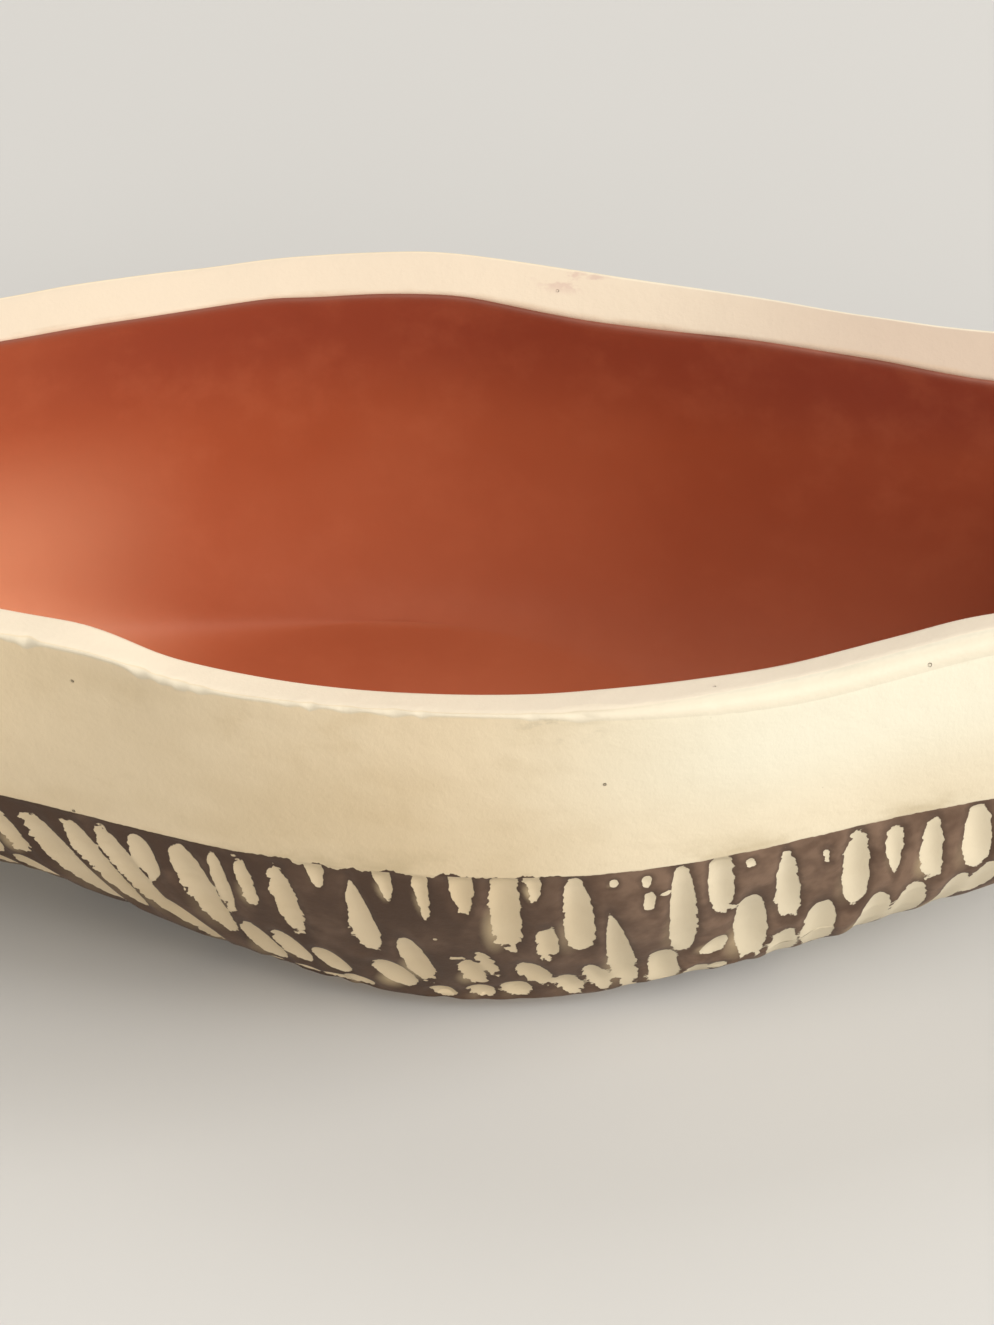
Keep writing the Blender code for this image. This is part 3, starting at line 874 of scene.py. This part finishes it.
def clay_look(place, finish):
    """Cream clay with a thin matt glaze: faint clouds, stains along the rim, pinholes.

    The rim face and its outer arris also carry painted highlight and painted shade.
    """
    base, height, grain = bare_clay(place, finish)
    x, y, z = split(place)
    across = mark(place, "rim_across")
    on_rim = rise(across, -3, -1) * fall(across, 8.3, 9.2)
    # Back part of the rim face, which carries painted shade
    far = rise(y, 0, 0.03) * on_rim
    near_arris = (1 - abs(across - ARRIS_END) / 2).clamped()
    streaks = rise(noise(place, 75, 4, 0.6, (1, 1, 2.5)), 0.52, 0.68)
    holes = pits(place, 0.0060, 0.00040, 0.5) * near_arris
    beside_glaze = rise(across, -3, -2) * fall(across, 0, 0.9)
    tinge = beside_glaze * rise(noise(place, 60, 3, 0.6), 0.40, 0.66)
    # Painted shade over the outer arris, where it would catch the light
    arris_shade = rise(across, 8.8, 9.3) * fall(across, 9.55, 10.4)
    fired = local_mark(place, (0.023, 0.059, 0.079), (1, 1.5, 1), 0.009, 110, 0.48) * on_rim
    soot = local_mark(place, (0.0225, -0.066, 0.0785), (0.45, 1, 1), 0.0055, 230, 0.54)
    # A ragged darker patch over the inner part of the rim face at the front right
    torn = (noise(place, 70, 4, 0.6) - 0.5) * 9 + across
    front_right_patch = fall(torn, 6.6, 7.2) * on_rim * rise(x, 0.004, 0.030) * fall(y, -0.02, 0)
    above_slip = z * 1000 - WALL_FOOT - joint_stray(place, x)
    teeth = fall(above_slip, -0.05, 0.06) * rise(across, 20, 24)
    # The rim face is painted paler, partly as highlight where it faces up to the light
    tone = coated(base, (on_rim * 0.9, finish.rim), (far * 0.85, finish.rim_far_shade),
                  # Painted shade on the back rim face, deepening towards the right end
                  (far * rise(x, 0.030, 0.085) * 0.85, BACK_RIGHT_RIM_SHADE),
                  (near_arris * streaks * 0.35, ARRIS_STAIN), (holes * 1.2, ARRIS_PINHOLE),
                  (tinge * 0.40, GLAZE_TINGE), (arris_shade * 0.9, ARRIS_SHADE),
                  (fired * 0.45, FIRED_MARK), (soot * 0.35, SOOT), (front_right_patch * 0.25, FRONT_RIGHT_RIM_TONE),
                  (teeth, finish.slip_deep), (fall(z, 0.004, 0.008), finish.foot))
    return tone, grain * 0.14 + 0.44, holes * -0.8 + height


def slip_look(place, finish):
    """Brown slip with painted shade round the gouges, and the cream clay that they bare in it."""
    clay, height, grain = bare_clay(place, finish)
    x = split(place)[0]
    torn = rise(noise(place, 45), 0.42, 0.60) * 1.5 + 0.75
    bared = (noise(place, 520, 2.5, 0.55) - 0.5) * torn + mark(place, "bared")
    under = mark(place, "below") * 1000 + joint_stray(place, x)
    chips = pits(place, 0.0075, 0.00045, 0.25)
    open_clay = larger(larger(rise(bared, -0.03, 0.05), fall(under, -0.05, 0.06)), chips * 0.85)
    cloud = rise(noise(place, 120, 3, 0.6), 0.36, 0.66)
    uneven = 1 - rise(noise(place, 75, 3, 0.6), 0.42, 0.64) * 0.45
    # The slip is darker over its left and middle, fading out towards the right end
    thick = fall(x, -0.002, 0.045) * uneven
    tone = coated(finish.slip, (cloud * 0.65, finish.slip_thin), (thick, finish.slip_deep),
                  # Painted shade on the slip's shoulders round each gouge
                  (fall(abs(bared), 0.05, 1) * 0.55, GOUGE_SIDE_SHADE),
                  (mark(place, "thin_slip") * 0.85, finish.clay_shade), (open_clay, clay))
    return tone, open_clay * -0.04 + (grain * 0.12 + 0.50), open_clay * -0.16 + height


def glaze_look(place, finish):
    """Satin red glaze, with painted light: paler at the left end and low in the hollow.

    Painted sheen lies low at the left; painted shade at the right, near the rim and on the
    shoulder.
    """
    x, _, z = split(place)
    cloud = rise(noise(place, 16, 3, 0.55), 0.35, 0.72)
    fine = rise(noise(place, 90, 4, 0.6), 0.45, 0.75)
    # Painted shade: darker glaze towards the right end, and near the rim by these amounts
    rim_shade_share = rise(x, -0.100, -0.045) * 0.60 + 0.22 + rise(x, 0.030, 0.080) * 0.18
    right_and_top_shade = larger(rise(x, 0.025, 0.085) * 0.45, rise(z, 0.046, 0.072) * rim_shade_share)
    # Painted light: the glaze is painted paler low in the hollow, more so towards the right
    low_painted_light = rise(x, -0.020, 0.060) * 0.32 + 0.22 + rise(x, 0.050, 0.095) * 0.30
    # Painted sheen low at the left end
    painted_sheen = fall(x, -0.090, -0.040) * fall(z, 0.030, 0.060)
    # Painted shade along the shoulder under the rim
    lip = mark(place, "lip_line")
    # Painted highlight in ragged patches on the shoulder at the back right
    lip_highlight = lip * rise(x, 0.010, 0.030) * rise(noise(place, 55, 4, 0.6), 0.42, 0.60)
    specks = pits(place, 0.016, 0.0005, 0.3)
    pale = finish.glaze_thin_and_lit
    # Painted light: the glaze is painted paler towards the left end, which faces the light
    tone = coated(finish.glaze, (cloud * 0.30, pale), (fall(x, -0.125, -0.030) * 0.60, pale),
                  (right_and_top_shade, finish.glaze_painted_shade), (fall(z, 0.012, 0.052) * low_painted_light, pale),
                  (painted_sheen * 0.85, finish.glaze_painted_sheen), (fine * 0.16, pale), (lip * 0.85, LIP_SHADE),
                  (lip_highlight * 0.6, LIP_HIGHLIGHT), (specks * 0.7, GLAZE_SPECK))
    return tone, noise(place, 300, 2) * 0.12 + 0.42, noise(place, 130, 3) * 0.12 + specks * 0.3


def seen_plainly(n):
    """1 for what the camera, a reflection or a clear piece shows, 0 for what lights the bowl."""
    rays = n.add("ShaderNodeLightPath").outputs
    seen = n.maths("MAXIMUM", rays["Is Camera Ray"], rays["Is Glossy Ray"])
    return larger(seen, rays["Is Transmission Ray"])


def floor_look(place, studio):
    """Pale paper floor: as pale as written where it is seen, plain grey as a bounce."""
    n = place.nodes
    bounce = tuple(part * 0.4 for part in studio.floor)
    paper = coated(bounce, (seen_plainly(n), studio.floor))
    return n.vectors("MULTIPLY", paper, noise(place, 6, 3) * 0.03 + 0.985), 0.9, None


def stand_for(piece, node):
    """The piece rides on the bowl's one body and takes the place of its solid."""
    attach(piece, "root")
    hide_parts(node)


def hand_wander(run, seed, longest, shortest):
    """Wander of a hand-cut line, about -1 to 1, from distances along a closed line."""
    scatter = random.Random(seed)
    total, weight, wave = 0.0, 0.0, longest
    while wave > shortest:
        size = (wave / longest) ** 0.6
        turns = round(run[-1] / wave)
        total = total + size * np.cos(2 * math.pi * turns * run[:-1] / run[-1]
                                      + scatter.uniform(0, 2 * math.pi))
        weight += size
        wave /= 1.45
    return total / weight * 1.6


def chipped(run, seed, count):
    """Small chips along a closed line: depth 0 to 1 at each station."""
    scatter = random.Random(seed)
    depth = np.zeros(len(run) - 1)
    for _ in range(count):
        at, width = scatter.uniform(0, run[-1]), scatter.uniform(0.7, 1.8) * MM
        away = np.abs(run[:-1] - at)
        away = np.minimum(away, run[-1] - away)
        depth = np.maximum(depth, scatter.uniform(0.3, 1.0) * np.exp(-(away / width) ** 2))
    return depth


def rim_profile(shape, angles):
    """Rings over the rim: inner arris, crowned face and outer arris, then down to the wall.

    Each ring comes with its distance in mm over the rim from the inner edge. After them come how
    far the rim reaches down the wall, and how far it strays outward and up.
    """
    inner_steps, face_steps, outer_steps = 5, 9, 10
    crown_height, fall_share = 0.12 * MM, 0.3
    inward, edge_z = inner_edge(shape)
    slope = shape.rim_slope
    line = rim_plan(shape, angles)
    run = run_along(np.concatenate((line, line[:1])))
    stray = shape.hand * hand_wander(run, 5, 70 * MM, 3 * MM)
    outer_hand, inner_hand, way = rim_hand(shape, angles)
    rings, marks = [], []

    def put(outward, z, mark):
        part = np.clip(1 + outward / inward, 0, 1)
        hand = inner_hand + (outer_hand - inner_hand) * part
        rings.append(rim_ring(shape, angles, outward + hand * way, z + hand))
        marks.append(mark)

    r_in = shape.inner_arris
    reach = r_in / math.tan((QUARTER + slope) / 2)
    put(-inward, edge_z - shape.lip_height * 0.5, -0.6)
    for i in range(inner_steps + 1):
        turn = math.pi - (QUARTER - slope) * i / inner_steps
        put(-inward + r_in + r_in * math.cos(turn), edge_z - reach + r_in * math.sin(turn),
            i / 10 - 0.3)

    # The outer arris is soft at the front right and chipped at the front left
    degrees = np.degrees(angles)
    softness = np.clip((degrees + 88) / 22, 0, 1) * np.clip((20 - degrees) / 25, 0, 1)
    softness = softness ** 2 * (3 - 2 * softness)
    front_left = np.clip(np.cos(angles - math.radians(235)) * 2 - 1, 0, 1)
    radius = shape.arris + (shape.soft_arris - shape.arris) * softness
    radius = radius + chipped(run, 8, 110) * MM * front_left
    lean = math.atan(shape.wall_belly * QUARTER / shape.wall_height)
    inner_way = np.array((-math.cos(slope), -math.sin(slope)))
    wall_way = np.array((math.sin(lean), -math.cos(lean)))
    corner = math.acos(float(inner_way @ wall_way)) / 2
    bisector = (inner_way + wall_way) / np.linalg.norm(inner_way + wall_way)
    tangent = radius / math.tan(corner)
    start = -inward + reach * 1.2
    for i in range(1, face_steps):
        part = i / face_steps
        o = start + (-tangent * math.cos(slope) - start) * part
        crown = (crown_height - fall_share * stray) * math.sin(QUARTER * part)
        put(o + stray * part, shape.height + o * math.tan(slope) + crown,
            (inward + o + stray * part) * 1000)
    back = radius / math.sin(corner)
    middle = (back * bisector[0] + stray, shape.height + back * bisector[1] - fall_share * stray)
    first = math.atan2(math.cos(slope), -math.sin(slope))
    last = math.atan2(math.sin(lean), math.cos(lean))
    for i in range(outer_steps + 1):
        turn = first + (last - first) * i / outer_steps
        put(middle[0] + radius * math.cos(turn), middle[1] + radius * math.sin(turn),
            inward * 1000 + i / 10)
    return rings, marks, tangent * math.cos(lean), stray + outer_hand * way, outer_hand


def quarter_oval(start, end, count, level_first):
    """Points of a quarter oval between two points, setting out level or upright."""
    turns = np.linspace(0, QUARTER, count)
    shares = np.stack((np.sin(turns), 1 - np.cos(turns)), -1)
    if not level_first:
        shares = shares[:, ::-1]
    return list(np.array(start) + (np.array(end) - np.array(start)) * shares)


def foot_rings(shape, angles):
    """Rings from under the hull's edge over the foot ring and into the recess under the bowl."""
    outer, inner = shape.foot_inset, shape.foot_inset + shape.foot_ring_width
    soft, cove, hidden = 0.8 * MM, 0.6 * MM, 1.2 * MM
    under = shape.foot_height + 0.9 * MM
    recess = inner + shape.foot_recess * 2.4, shape.foot_recess
    steps = [(hidden, under + hidden), (hidden, under)]
    steps += quarter_oval((outer - cove, under), (outer, under - cove), 4, True)
    steps += quarter_oval((outer, soft), (outer + soft, 0.0), 5, False)
    steps += quarter_oval((inner - soft, 0.0), (inner, soft), 5, True)
    steps += quarter_oval((inner, soft), recess, 7, False)[1:]
    rings = [level_ring(foot_plan(shape, angles, -inset), z) for inset, z in steps]
    middle = rings[-1].mean(0)
    return rings + [middle + (rings[-1] - middle) * keep for keep in (0.8, 0.5, 0.2)]


class JARDINIERE_OT_clay_bowl(bpy.types.Operator):
    """Builds the cream clay bowl: rim, wall, foot and the clay behind the glaze and the slip"""

    bl_idname = "jardiniere.clay_bowl"
    bl_label = "Clay bowl"

    def execute(self, context):
        shape = context.scene.jardiniere_shape
        clearance, ledge, off_rim = 0.08 * MM, 0.03 * MM, -9.0
        angles = station_angles(shape, 720, 1.6)
        turns = np.concatenate((np.linspace(1.92, 1.08, 7) * QUARTER,
                                np.linspace(QUARTER, math.radians(4), 18)))
        rings = skin_rings(shape, bowl_point, angles, turns, shape.glaze_thickness + clearance)
        marks = [off_rim] * len(rings)
        rim, rim_marks, drop, stray, lift = rim_profile(shape, angles)
        rings += rim
        marks += rim_marks
        for part in (*np.arange(1, 24) / 24, 0.997, 1.0):
            down = drop + (shape.wall_height - drop) * part
            belly = shape.wall_belly * np.sin(QUARTER * down / shape.wall_height)
            fading = (1 - part) ** 2
            rings.append(rim_ring(shape, angles, belly + stray * fading,
                                  shape.height - down + lift * fading))
            marks.append(inner_edge(shape)[0] * 1000 + 1 + down * 1000)
        band_z = shape.height - shape.wall_height - ledge
        behind_slip = shape.slip_step + shape.skin_thickness
        rings.append(rim_ring(shape, angles, shape.wall_belly - ledge, band_z))
        rings.append(rim_ring(shape, angles, shape.wall_belly - behind_slip, band_z))
        turns = np.linspace(math.radians(9), math.radians(80), 12)
        rings += skin_rings(shape, hull_point, angles, turns, -behind_slip - clearance)
        rings += foot_rings(shape, angles)
        marks += [off_rim] * (len(rings) - len(marks))
        clay = new_material("cream_clay", clay_look, context.scene.jardiniere_finish, 0.35)
        bowl = skinned("clay_bowl", rings, clay)
        spread = np.stack([np.broadcast_to(mark, angles.shape) for mark in marks])
        add_attribute(bowl.data, "rim_across", np.append(spread, (off_rim, off_rim)))
        stand_for(bowl, "clay_body")
        return {"FINISHED"}


class JARDINIERE_OT_slip_band(bpy.types.Operator):
    """Builds the brown slip round the hull and cuts the gouges through it"""

    bl_idname = "jardiniere.slip_band"
    bl_label = "Gouged slip"

    def execute(self, context):
        shape = context.scene.jardiniere_shape
        cut = context.scene.jardiniere_gouges
        # Points lie this close together, as far below the wall as gouges reach, in mm
        spacing, carved = 0.6, 46
        tuck = 0.8 * MM
        angles = station_angles(shape, 900, 1.9)
        turns, below = run_below_wall(shape, np.array((-QUARTER,)))
        steps = np.concatenate((np.arange(0, carved, spacing),
                                np.linspace(carved, below[-1, 0] * 1000, 7)))
        rows = np.interp(steps * MM, below[:, 0], turns)
        step, back = -shape.slip_step, -shape.slip_step - shape.skin_thickness
        band_top, belly = shape.height - shape.wall_height, shape.wall_belly
        outer = [rim_ring(shape, angles, belly + step - 0.05 * MM, band_top + tuck),
                 rim_ring(shape, angles, belly + step, band_top)]
        outer += skin_rings(shape, hull_point, angles, rows[1:], step)
        inner = skin_rings(shape, hull_point, angles, rows[::-8], back)
        inner.append(rim_ring(shape, angles, belly + back, band_top + tuck))
        band = skinned("slip_band", outer + inner, None, closed=True)

        turns, depths = run_below_wall(shape, angles)
        below = [np.full(len(angles), -tuck)]
        below += [np.array([np.interp(t, turns, depth) for depth in depths.T]) for t in rows]
        below += [np.zeros(len(angles))] * len(inner)
        facing = [surface_frame(shape, hull_point, angles, angles * 0 + t)[2]
                  for t in (0.0, *rows)]
        facing += [facing[0]] * len(inner)
        face = np.repeat([1.0] * len(outer) + [0.0] * len(inner), len(angles))
        add_attribute(band.data, "below", np.stack(below))
        add_attribute(band.data, "outward", np.stack(facing), VECTOR)
        add_attribute(band.data, "outer_face", face)
        guide = gouge_guide(shape, cut)
        gouge = band.modifiers.new("gouges", "NODES")
        gouge.node_group = gouge_tree()
        set_input(gouge, "Gouges", guide)
        set_input(gouge, "Depth", cut.depth)
        set_input(gouge, "Skirt", cut.skirt)
        set_input(gouge, "Line Fade", 1.6 * MM)
        set_input(gouge, "Finish", new_material("brown_slip", slip_look,
                                                context.scene.jardiniere_finish, 0.3))
        plain_mesh(band)
        bpy.data.objects.remove(guide, do_unlink=True)
        stand_for(band, "brown_slip_band")
        return {"FINISHED"}


# The lining's rounded shoulder: how far in from the rim's inner edge and up from its lip, in mm,
# and how dark the painted shade along it is, where it faces up to the light
SHOULDER = ((-0.35, 0.72, 1.0), (-0.05, 0.62, 1.0), (0.2, 0.35, 0.9), (0.36, 0.0, 0.5),
            (0.44, -0.6, 0.15), (0.44, -1.4, 0.0))


class JARDINIERE_OT_red_lining(bpy.types.Operator):
    """Builds the lining of red glaze, from its rounded shoulder under the rim to the floor"""

    bl_idname = "jardiniere.red_lining"
    bl_label = "Red lining"

    def execute(self, context):
        shape = context.scene.jardiniere_shape
        bead_size, bead_fade = 0.44 * MM, 9 * MM
        angles = station_angles(shape, 480, 1.5)
        inward, edge_z = inner_edge(shape)
        lip_z = edge_z - shape.lip_height
        stray, way = rim_hand(shape, angles)[1:]
        rings = [rim_ring(shape, angles, stray * way - inward - into * MM, lip_z + up * MM + stray)
                 for into, up, _ in SHOULDER]
        for t in np.concatenate((np.linspace(math.radians(3.5), QUARTER, 46),
                                 np.linspace(1.05, 1.94, 14) * QUARTER)):
            sunk = lip_z - float(np.mean(skin_point(shape, bowl_point, angles, t, 0.0)[:, 2]))
            bead = bead_size * math.exp(-sunk / bead_fade)
            rings.append(skin_point(shape, bowl_point, angles, t, -bead))
        turns = np.concatenate((np.linspace(math.radians(2), QUARTER, 18),
                                np.linspace(1.1, 1.9, 5) * QUARTER))
        back = skin_rings(shape, bowl_point, angles, turns, shape.glaze_thickness)
        # How dark the painted shade along the shoulder is, ring by ring
        lips = [lip for *_, lip in SHOULDER] + [0.0] * (len(rings) - len(SHOULDER))
        lips = lips[::-1] + [0.0] * len(back)
        glaze = new_material("red_glaze", glaze_look, context.scene.jardiniere_finish, 0.35)
        lining = skinned("red_lining", rings[::-1] + back, glaze)
        add_attribute(lining.data, "lip_line", np.append(np.repeat(lips, len(angles)), (0.0, 0.0)))
        stand_for(lining, "red_inner_glaze")
        return {"FINISHED"}


# Where each lamp stands, how wide it is, and its tint
LAMPS = {
    "right": ((3.14, -0.27, 2.46), 2.2, (1.0, 0.98, 0.95)),
    "side": ((2.84, -1.64, 2.29), 2.2, (1.0, 0.98, 0.94)),
    "front": ((-0.78, -3.68, 1.37), 2.6, (1.0, 0.96, 0.90)),
    "rear": ((-0.78, 2.16, 3.33), 2.2, (1.0, 0.98, 0.95)),
}
LAMP_AIM = (0.0, 0.0, 0.05)
CAMERA_PLACE, CAMERA_AIM = (0.01625, -0.4789, 0.4547), (0.01063, -0.02702, 0.060)
CAMERA_LENS = 97.8


def aimed(name, data, place, target):
    """A lamp or a camera that looks at a place."""
    thing = bpy.data.objects.new(name, data)
    thing.location = place
    way = Vector(target) - Vector(place)
    thing.rotation_euler = way.to_track_quat("-Z", "Y").to_euler()
    bpy.context.scene.collection.objects.link(thing)
    return thing


class JARDINIERE_OT_stage(bpy.types.Operator):
    """Sets up the pale floor, the soft light and the camera"""

    bl_idname = "jardiniere.stage"
    bl_label = "Stage"

    def execute(self, context):
        scene = context.scene
        studio = scene.jardiniere_studio
        half = 3.0
        corners = [(x * half, y * half, 0) for x, y in ((-1, -1), (1, -1), (1, 1), (-1, 1))]
        floor = new_object("floor", corners, [(0, 1, 2, 3)],
                           new_material("floor_paper", floor_look, studio, 0.2))
        for side, (place, width, tint) in LAMPS.items():
            light = bpy.data.lights.new(side + "_light", "AREA")
            light.size = width
            light.energy = getattr(studio, side + "_power")
            light.color = tint
            aimed(side + "_light", light, place, LAMP_AIM)

        world = bpy.data.worlds.new("studio")
        world.use_nodes = True
        n = Nodes(world.node_tree)
        even = world.node_tree.nodes["Background"]
        even.inputs["Color"].default_value = (1.0, 0.96, 0.90, 1.0)
        even.inputs["Strength"].default_value = studio.fill
        pale = n.field("ShaderNodeBackground", {"Color": (*studio.floor, 1.0), "Strength": 1.1})
        mixed = n.field("ShaderNodeMixShader", {0: seen_plainly(n), 1: even.outputs[0], 2: pale})
        n.feed(world.node_tree.nodes["World Output"].inputs["Surface"], mixed)
        scene.world = world

        lens = bpy.data.cameras.new("photo_camera")
        lens.sensor_width = 36.0
        lens.lens = CAMERA_LENS
        lens.clip_start, lens.clip_end = 0.02, 20.0
        scene.camera = aimed("photo_camera", lens, CAMERA_PLACE, CAMERA_AIM)
        scene.view_settings.view_transform = "Standard"
        return {"FINISHED"}


class JARDINIERE_PT_build(bpy.types.Panel):
    """Lists the pieces of the jardiniere"""

    bl_idname = "JARDINIERE_PT_build"
    bl_label = "Jardiniere"
    bl_space_type = "VIEW_3D"
    bl_region_type = "UI"
    bl_category = "Jardiniere"

    def draw(self, context):
        for operator in OPERATORS:
            self.layout.operator(operator.bl_idname)


OPERATORS = (JARDINIERE_OT_clay_bowl, JARDINIERE_OT_slip_band, JARDINIERE_OT_red_lining,
             JARDINIERE_OT_stage)
SETTINGS = {"jardiniere_shape": BowlShape, "jardiniere_gouges": GougeSettings,
            "jardiniere_finish": BowlFinish, "jardiniere_studio": StudioSettings}


def register():
    for item in (*SETTINGS.values(), *OPERATORS, JARDINIERE_PT_build):
        bpy.utils.register_class(item)
    for name, group in SETTINGS.items():
        setattr(bpy.types.Scene, name, PointerProperty(type=group))


def unregister():
    for name in SETTINGS:
        delattr(bpy.types.Scene, name)
    for item in (JARDINIERE_PT_build, *reversed(OPERATORS), *reversed(SETTINGS.values())):
        bpy.utils.unregister_class(item)


def main():
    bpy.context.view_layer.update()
    register()
    bpy.ops.jardiniere.clay_bowl()
    bpy.ops.jardiniere.slip_band()
    bpy.ops.jardiniere.red_lining()
    bpy.ops.jardiniere.stage()


if __name__ == "__main__":
    main()
